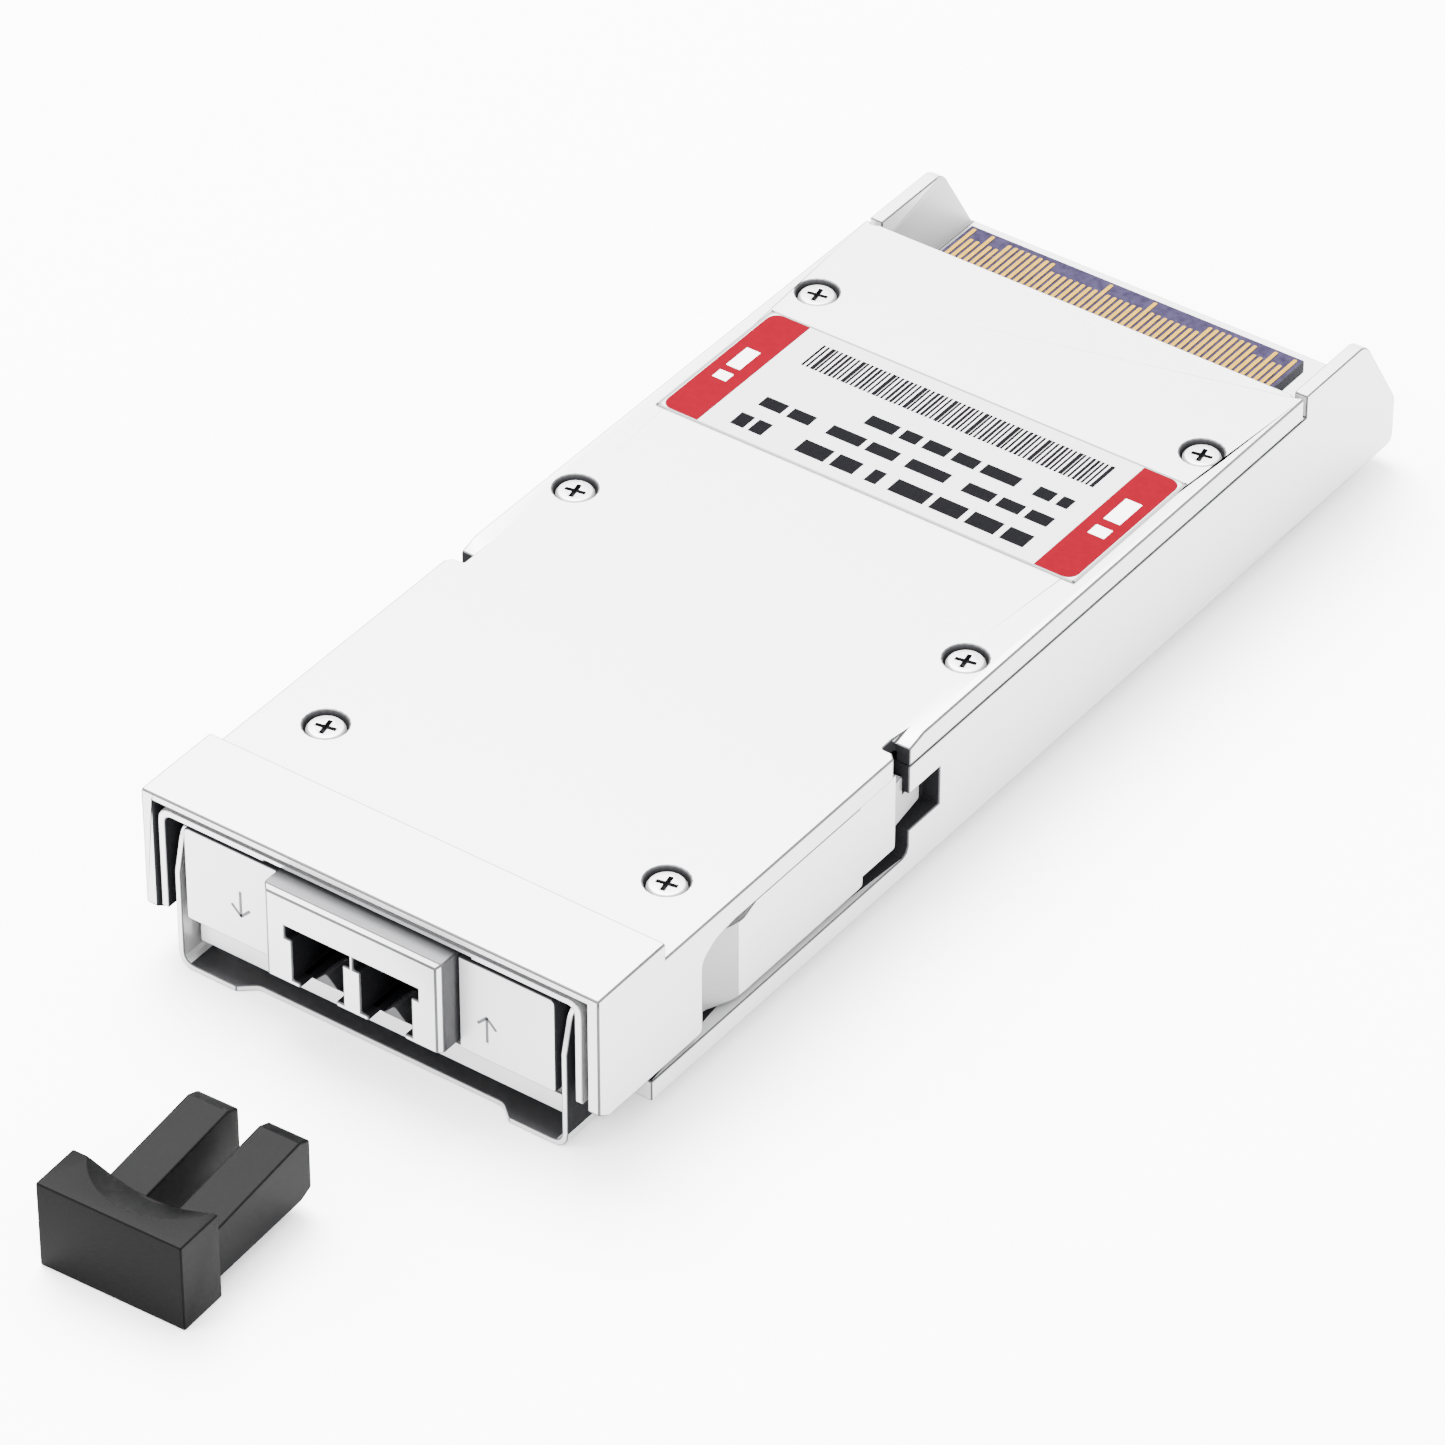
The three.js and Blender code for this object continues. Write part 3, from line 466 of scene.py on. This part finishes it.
def inside_head(centre, normal):
    under_roof = HEAD_FLOOR < centre.z < lid_high.z - SKIN
    within = under_roof and abs(centre.x) < half_width - SKIN and centre.y < plate_front + HEAD_DEPTH
    looks_down = normal.z < -FACING
    looks_inward = normal.x * centre.x < -BARELY
    behind_front = centre.y > plate_front + SKIN
    on_a_ledge = normal.z > FACING and centre.z > HEAD_ROOF
    return within and (looks_down or looks_inward or behind_front) and not on_a_ledge


# %% The notch in each side of the cover
NOTCH_FRONT = plate_front + 36.0 * MM
NOTCH_BACK = plate_front + 38.6 * MM
SIDE_WALL = 1.5 * MM
OUTER_SKIN = 0.05 * MM


def notch_walls(centre, normal):
    at_notch = NOTCH_FRONT < centre.y < NOTCH_BACK
    in_wall = half_width - SIDE_WALL < abs(centre.x) < half_width - OUTER_SKIN
    return at_notch and in_wall and abs(normal.z) < SIDEWAYS


# %% The tray under the slider's arms
ARMS_FRONT = plate_front + 8.0 * MM
ARMS_BACK = plate_front + 42.6 * MM
ARMS_TOP = 11 * MM
RAIL_TOP = 1.9 * MM
INNER_WALL = 17.0 * MM
WALL_SKIN = 0.4 * MM
RAIL_SKIN = 0.9 * MM


def under_the_arms(centre, normal):
    if not (ARMS_FRONT < centre.y < ARMS_BACK and centre.z < ARMS_TOP):
        return False
    reach = abs(centre.x)
    on_inner_wall = faces_outward(centre, normal) and INNER_WALL < reach < half_width - WALL_SKIN
    in_window = abs(normal.x) < SIDEWAYS and reach < half_width - SKIN and centre.z > RAIL_TOP
    on_rail = normal.z > FACING and reach < half_width - RAIL_SKIN and centre.z < RAIL_TOP
    return on_inner_wall or in_window or on_rail


# %% The wells of the lid's screws
WELL_INSIDE, WELL_OUTSIDE = 1.5 * MM, 1.9 * MM
screw_nodes = [node for node in nodes if node.startswith("lid_screw")]
screw_centres = [(sum(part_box(node), Vector()) / 2).xy for node in screw_nodes]


def in_a_well(centre, normal):
    distances = [(centre.xy - spot).length for spot in screw_centres]
    in_ring = any(WELL_INSIDE < distance < WELL_OUTSIDE for distance in distances)
    return in_ring and abs(normal.z) < SIDEWAYS


# %% Bends, sides and lips
EARS_FRONT = 43 * MM
SLIDER_LIP = 11.5 * MM
PLATE_TOP = 11 * MM
PLATE_SIDE = 16.6 * MM
LEAST_BEND = 0.06


def on_a_bend(centre, normal):
    slanted = LEAST_BEND < abs(normal.y) < 1 - LEAST_BEND
    return slanted and faces_outward(centre, normal) and abs(normal.z) < SIDEWAYS


def on_an_inner_side(centre, normal):
    return faces_inward(centre, normal) and abs(normal.x) > FACING


def inside_an_ear(centre, normal):
    return faces_inward(centre, normal) and abs(normal.x) > SIDEWAYS and centre.y > EARS_FRONT


def on_a_bail_flank(centre, normal):
    return faces_outward(centre, normal) and abs(normal.x) > FACING and centre.z > 0


# %% Shading the insides
# Painted shade on each piece: near black deep inside, greyer on the slider's bends and in the ears.
shade(cover, recess_shade, lambda c, n: inside_head(c, n) or notch_walls(c, n))
shade(cover, deep_shade, in_a_well)
shade(slider, recess_shade, on_an_inner_side)
shade(slider, recess_shade, lambda c, n: n.z < -FACING and c.z > SLIDER_LIP)
shade(slider, bend_shade, on_a_bend)
shade(tray, plated_shade, inside_an_ear)
shade(tray, recess_shade, under_the_arms)
# The bail's flanks inside the head and the top of its web, under the module, take painted shade.
shade(bail, recess_shade, on_a_bail_flank)
shade(bail, deep_shade, lambda c, n: n.z > FACING and c.z < 0)
shade(faceplate, recess_shade, lambda c, n: n.z > FACING and c.z > PLATE_TOP)
shade(faceplate, recess_shade, lambda c, n: faces_outward(c, n) and abs(c.x) > PLATE_SIDE)

# %% [markdown]
# The receptacle
#
# Two fibre connectors plug in here, side by side. The ports are deep and look black from outside. A
# separate liner could be modelled, but the frame's block has the ports' steps already, so its inner
# faces take a black finish, a painted shade for the ports' depth. The block's top and sides lie in
# the shade of the head's roof, and take a painted shade as well.

# %% Receptacle
PORT_LIP = 0.25 * MM
PORT_REACH = 6.15 * MM
PORT_ROOF = 2.8 * MM  # below the block's top
BLOCK_ROOF = 0.2 * MM  # likewise
BLOCK_SIDE = 8.0 * MM
BLOCK_EDGE = 0.12 * MM
block = finish_node("lc_receptacle", BLOCK_EDGE, plated, plated_edge_shade)
block_low, block_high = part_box("lc_receptacle")


def in_a_port(centre, normal):
    deep = centre.y > block_low.y + PORT_LIP
    return deep and abs(centre.x) < PORT_REACH and centre.z < block_high.z - PORT_ROOF


# Painted shade: black in the ports, dark grey on the block's top and sides.
shade(block, port_shade, in_a_port)
shade(block, deep_shade, lambda c, n: n.z > FACING and c.z > block_high.z - BLOCK_ROOF)
shade(block, deep_shade, lambda c, n: abs(n.x) > FACING and abs(c.x) > BLOCK_SIDE)

# %% [markdown]
# The screws
#
# Six small cross-recess screws hold the lid. Turned and zinc-plated steel keeps a crisp edge, so the
# rounding is finer than on the castings. The cross is a stamped hole that light hardly enters: it is
# already cut in the frame's solid, and only its walls and floor need a dark finish.

# %% Screws
SCREW_EDGE = 0.06 * MM
CROSS_REACH = 1.0 * MM
CROSS_TOP, CROSS_FLOOR = 0.03 * MM, 0.5 * MM  # below the head's top


def finish_screw(node):
    screw = finish_node(node, SCREW_EDGE, zinc, zinc)
    low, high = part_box(node)
    axis = (low + high).xy / 2

    def in_the_cross(centre, normal):
        deep = high.z - CROSS_FLOOR < centre.z < high.z - CROSS_TOP
        return deep and (centre.xy - axis).length < CROSS_REACH

    shade(screw, recess_shade, in_the_cross)


for node in sorted(screw_nodes):
    finish_screw(node)

# %% [markdown]
# Floors and ramps in the ports
#
# On the floor of each port a small roof-shaped ramp lifts the connector's latch. A wedge could be
# extruded from a triangle. Here a box is added at the ramp's size and its top face is squeezed
# nearly to a ridge, because one scale in edit mode gives both slopes at once and keeps them equal.

# %% Port floors
PORT_CENTRE = 3.125 * MM
FLOOR_LOW, FLOOR_HIGH = 4.0 * MM, 4.15 * MM


def add_port_box(name, x, half, front, back, low, high):
    """A box in the port at x, with its ends measured from the block's front face."""
    return add_box(
        name, (x - half, block_low.y + front, low), (x + half, block_low.y + back, high)
    )


def make_port_floor(port, x):
    floor = add_port_box(
        "port_floor_" + port,
        x,
        half=2.3 * MM,
        front=1.2 * MM,
        back=10.5 * MM,
        low=FLOOR_LOW,
        high=FLOOR_HIGH,
    )
    # The floor is a slab in painted shade, for the port's dark depth.
    dress(floor, port_shade)
    hand_over(floor, "housing", "nickel")


# %% Port ramps
RAMP_TOP = 5.1 * MM
RIDGE_SHARE = 0.12  # the ridge's width as a share of the ramp's
RAMP_EDGE = 0.06 * MM


def select_faces(piece, chosen):
    """Selects only the faces that chosen(centre, normal) picks; a new box is selected all over."""
    edit(
        piece,
        lambda: bpy.ops.mesh.select_mode(type="FACE"),
        lambda: bpy.ops.mesh.select_all(action="DESELECT"),
    )
    for face in piece.data.polygons:
        face.select = chosen(face.center, face.normal)


def make_port_ramp(port, x):
    ramp = add_port_box(
        "port_ramp_" + port,
        x,
        half=1.1 * MM,
        front=1.0 * MM,
        back=3.4 * MM,
        low=FLOOR_HIGH,
        high=RAMP_TOP,
    )
    select_faces(ramp, lambda c, n: n.z > FACING)
    bpy.ops.object.mode_set(mode="EDIT")
    bpy.ops.transform.resize(value=(RIDGE_SHARE, 1, 1))
    bpy.ops.object.mode_set(mode="OBJECT")
    round_edges(ramp, RAMP_EDGE)
    # The ramp takes a painted shade, for the dark depth of its port.
    dress(ramp, deep_shade)
    hand_over(ramp, "housing", "nickel")


for side, port in ((-1, "receive"), (1, "send")):
    make_port_floor(port, side * PORT_CENTRE)
    make_port_ramp(port, side * PORT_CENTRE)

# %% [markdown]
# The board and its gold pads
#
# The board's end is coated with dark violet solder mask on both faces, and its cut edge shows the
# laminate. The frame's contact rows have square pads, and real pads have rounded tips. One pad could
# be copied along the row, but the pads differ in length, so each is a slim box of its own with two
# bevelled corners. The places and lengths are read from the frame's own row, so the two agree.

# %% Board
BOARD_EDGE = 0.06 * MM
board = finish_node("main_board", BOARD_EDGE, mask, laminate)
for face in board.data.polygons:
    if abs(face.normal.z) < FACING:
        face.material_index = 1

# %% Gold pads
PAD_COUNT = 52
PAD_PITCH = 0.6 * MM
PAD_WIDTH = 0.34 * MM
TIP_ROUNDING = 0.42 * PAD_WIDTH
HAIR = 1e-6  # two lengths closer than this are the same


def pad_centre(i):
    return (i - (PAD_COUNT - 1) / 2) * PAD_PITCH


def pad_ends(node):
    """How far back each pad of a row reaches, from the frame's mesh."""
    places = [vertex.co for vertex in nodes[node].data.vertices]
    ends = []
    for i in range(PAD_COUNT):
        x = pad_centre(i)
        ends.append(max(p.y for p in places if abs(p.x - x) < PAD_PITCH / 2))
    return ends


def make_pad(x, end, low, high):
    pad = add_box("pad", (x - PAD_WIDTH / 2, low.y, low.z), (x + PAD_WIDTH / 2, end, high.z))
    round_corners(
        pad, TIP_ROUNDING, 3, lambda a, b: abs(a.z - b.z) > HAIR and a.y > end - HAIR
    )
    return pad


def make_pads(node):
    low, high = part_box(node)
    pads = [make_pad(pad_centre(i), end, low, high) for i, end in enumerate(pad_ends(node))]
    row = join_pieces(node + "_finished", pads)
    dress(row, gold)
    hand_over(row, body_of[node], slot_of[node], node)


make_pads("contact_row_top")
make_pads("contact_row_bottom")

# %% [markdown]
# The label
#
# The label is a silver film with a red band at each end, a bar pattern and three lines of print.
# The print here is generic: bars of mixed width, and rows of plain dashes in place of letters. It
# could be a drawn pattern in one material, but thin raised pieces stay sharp from any distance and
# are kept in the exported model, so each ink is one joined piece, a hundredth of a millimetre thick.

# %% Label film
FILM_EDGE = 0.02 * MM
finish_node("label", FILM_EDGE, film, film, segments=1, angle=60)
label_low, label_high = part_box("label")
label_size = label_high - label_low
INK = 0.012 * MM
ink_base = label_high.z


def label_box(name, u0, u1, v0, v1, lift=0.0):
    """A slab of ink between shares of the label's width (u) and depth (v)."""
    low = (label_low.x + u0 * label_size.x, label_low.y + v0 * label_size.y, ink_base + lift)
    high = (label_low.x + u1 * label_size.x, label_low.y + v1 * label_size.y, ink_base + lift + INK)
    return add_box(name, low, high)


def hand_over_print(name, pieces, material):
    printed = join_pieces(name, pieces)
    dress(printed, material)
    hand_over(printed, "housing", "label_film")


# %% Red bands
BAND = 0.098
BAND_INSET = 0.008
BAND_END = 0.012
BAND_CORNER = 1.0 * MM


def make_band(u0, u1, outer):
    """A band between shares u0 and u1, with round corners at the share outer."""
    band = label_box("band", u0, u1, BAND_END, 1 - BAND_END)
    corner_x = label_low.x + outer * label_size.x
    round_corners(
        band,
        BAND_CORNER,
        5,
        lambda a, b: abs(a.z - b.z) > INK / 2 and abs(a.x - corner_x) < HAIR,
    )
    return band


left_band = make_band(BAND_INSET, BAND, BAND_INSET)
right_band = make_band(1 - BAND, 1 - BAND_INSET, 1 - BAND_INSET)
hand_over_print("label_bands", [left_band, right_band], red_print)

# %% Bar pattern
BAR_COUNT = 66
BAR_SPAN = (0.155, 0.858)
BAR_DEPTH = (0.70, 0.905)
BAR_WIDTHS = (0.52, 0.78, 0.6, 0.86, 0.5, 0.66, 0.88)  # as shares of the bars' pitch
bar_pitch = (BAR_SPAN[1] - BAR_SPAN[0]) / BAR_COUNT
bars = []
for i in range(BAR_COUNT):
    share = BAR_WIDTHS[(i * i + 3 * i) % len(BAR_WIDTHS)]  # mixed, and standing for no number
    start = BAR_SPAN[0] + i * bar_pitch
    bars.append(label_box("bar", start, start + share * bar_pitch, *BAR_DEPTH))

# %% Lines of plain marks
def mark_line(u0, u1, v0, v1, sizes):
    """Dashes of mixed length between u0 and u1, with a gap after each."""
    marks = []
    scale = (u1 - u0) / sum(sizes)
    reach = u0
    for i, size in enumerate(sizes):
        if i % 2 == 0:
            marks.append(label_box("mark", reach, reach + size * scale, v0, v1))
        reach += size * scale
    return marks


# Each line is its span across and along the label, and its dashes and gaps by turns.
LINES = [
    (0.37, 0.855, 0.475, 0.56, [5, 1, 3, 1, 4, 1, 4, 1, 6, 3, 3, 1, 2]),
    (0.165, 0.855, 0.295, 0.38, [4, 1, 4, 3, 6, 1, 5, 2, 7, 3, 5, 1, 4, 1, 4]),
    (0.155, 0.23, 0.09, 0.20, [3, 1, 3]),
    (0.31, 0.855, 0.09, 0.20, [5, 1, 4, 2, 2, 2, 6, 1, 5, 1, 5, 1, 4]),
]
marks = [mark for line in LINES for mark in mark_line(*line)]
hand_over_print("label_ink_marks", bars + marks, black_print)

# %% A thin grey line around the label
SIDE_LINE = 0.006
END_LINE = 0.012
outline = [
    label_box("line", 0.0, 1.0, -0.002, END_LINE),
    label_box("line", 0.0, 1.0, 1 - END_LINE, 1.0),
    label_box("line", 0.0, SIDE_LINE, 0.0, 1.0),
    label_box("line", 1 - SIDE_LINE, 1.0, 0.0, 1.0),
]
hand_over_print("label_outline", outline, outline_grey)

# %% Pale marks on the red bands
PALE_MARKS = (
    (0.035, 0.068, 0.36, 0.43),
    (0.035, 0.068, 0.48, 0.66),
    (0.930, 0.968, 0.38, 0.46),
    (0.930, 0.968, 0.52, 0.72),
)
pale = [label_box("pale", *shares, lift=INK) for shares in PALE_MARKS]
hand_over_print("label_pale_marks", pale, pale_print)

# %% [markdown]
# Direction marks on the front plate
#
# Each side of the front plate carries a small engraved mark for the send and the receive port.
# Plain arrows stand in for them. They could be cut into the plate, but the plate's solid stays as it
# is, so an arrow is a few thin strokes. Each is a box, turned in its mesh, and stands two hundredths
# of a millimetre proud of the plate, so that it never flickers against it.

# %% Arrows
plate_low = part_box("faceplate")[0]
STROKE = 0.24 * MM
STROKE_DEPTH = 0.02 * MM
SHAFT = 2.4 * MM
TIP_REACH = 1.1 * MM  # from the shaft's middle to the tip
BARB = 1.2 * MM
BARB_SHIFT = 0.42 * MM


def stroke(x, z, length, turn):
    bar = add_box(
        "stroke",
        (-length / 2, plate_low.y - STROKE_DEPTH, -STROKE / 2),
        (length / 2, plate_low.y, STROKE / 2),
    )
    only(bar)
    bar.rotation_euler.y = turn
    bar.location = (x, 0, z)
    settle(bar)
    return bar


def make_arrow(name, x, z, way):
    barb_z = z + way * (TIP_REACH - BARB_SHIFT)
    pieces = [
        stroke(x, z, SHAFT, math.pi / 2),
        stroke(x - BARB_SHIFT, barb_z, BARB, -way * math.pi / 4),
        stroke(x + BARB_SHIFT, barb_z, BARB, way * math.pi / 4),
    ]
    arrow = join_pieces(name, pieces)
    dress(arrow, engraving)
    hand_over(arrow, "housing", "nickel")


make_arrow("receive_mark", -11.75 * MM, 6.9 * MM, -1)
make_arrow("send_mark", 10.75 * MM, 6.1 * MM, 1)

# %% [markdown]
# The dust plug
#
# The plug is moulded in black elastomer: a block with a scooped finger grip on top, and two tapered
# prongs that fill the ports. The frame's solid has the right size but flat facets. A copy of it is
# given wide soft edges, as a moulding has, and keeps its spark texture in the material.

# %% Dust plug
PLUG_EDGE = 0.12 * MM
finish_node("dust_plug", PLUG_EDGE, plug_black, plug_edge, angle=30)

# %% [markdown]
# The plug's snap rib
#
# A thin stepped rib on the outer prong clicks behind the port's wall and keeps the plug in. It could
# be extruded from the prong's side face, but that face belongs to the frame's solid, so a long box
# and a short one are joined, softened at their edges, and turned with the plug.

# %% Snap rib
PRONG_SIDE = 6.55 * MM
RIB_START = 8.2 * MM  # behind the plug's front
RIB_LEVEL = 2.1 * MM
RIB_BACK, RIB_FRONT = -0.05 * MM, 0.1 * MM  # from the prong's side
RIB_LENGTH = 5.2 * MM
RIB_HEIGHT = 0.5 * MM
STEP_LOW = (RIB_BACK, -1.4 * MM, -1.1 * MM)
STEP_HIGH = (RIB_FRONT, 0.15 * MM, 0.32 * MM)
RIB_EDGE = 0.05 * MM
PLUG_YAW = math.radians(2.25)
plug_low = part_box("dust_plug")[0]
rib = add_box("plug_snap_rib", (RIB_BACK, 0, 0), (RIB_FRONT, RIB_LENGTH, RIB_HEIGHT))
rib = join_pieces("plug_snap_rib", [rib, add_box("step", STEP_LOW, STEP_HIGH)])
dress(rib, plug_black, plug_edge)
round_edges(rib, RIB_EDGE, edge_material=1)
only(rib)
rib.rotation_euler.z = PLUG_YAW
rib.location = (PRONG_SIDE, plug_low.y + RIB_START, RIB_LEVEL)
settle(rib)
hand_over(rib, "dust_plug", slot_of["dust_plug"])

# %% [markdown]
# Stage and light
#
# The module lies on a plain pale table under soft studio light. A large soft lamp above and behind
# gives the top its even tone, a weaker one from the left lights the front, and the pale world fills
# the rest, so that shadows stay short and faint.

# %% Table
TABLE_SIZE = 6.0
TABLE_TOP = cad_low[2] - 0.02 * MM  # just clear of what stands on it
bpy.ops.mesh.primitive_plane_add(size=TABLE_SIZE, location=(0, 0, TABLE_TOP))
table = bpy.context.object
table.name = "table"
settle(table)
dress(table, grained("pale_table", (0.98, 0.98, 0.98), 0.0, 0.8, (2, 2, 2), 0.004, 0.02, 0.0))
print("table top at", round(TABLE_TOP / MM, 2), "mm")

# %% Lamps
WORLD_STRENGTH = 5.6


def add_lamp(name, place, aim, size, power):
    """A round soft lamp: size is its width in metres, power in watts."""
    bpy.ops.object.light_add(type="AREA", location=place)
    lamp = bpy.context.object
    lamp.name = name
    lamp.data.shape = "DISK"
    lamp.data.size = size
    lamp.data.energy = power
    way = Vector(aim) - Vector(place)
    lamp.rotation_euler = way.to_track_quat("-Z", "Y").to_euler()


add_lamp("top_lamp", place=(-0.3, 0.2, 0.75), aim=(0, 0, 0), size=0.6, power=50.0)
add_lamp("front_lamp", place=(-0.4, -0.6, 0.4), aim=(0, -0.03, 0), size=0.5, power=9.0)

world = bpy.context.scene.world or bpy.data.worlds.new("studio")
bpy.context.scene.world = world
world.use_nodes = True
world.node_tree.nodes["Background"].inputs["Color"].default_value = (1, 1, 1, 1)
world.node_tree.nodes["Background"].inputs["Strength"].default_value = WORLD_STRENGTH
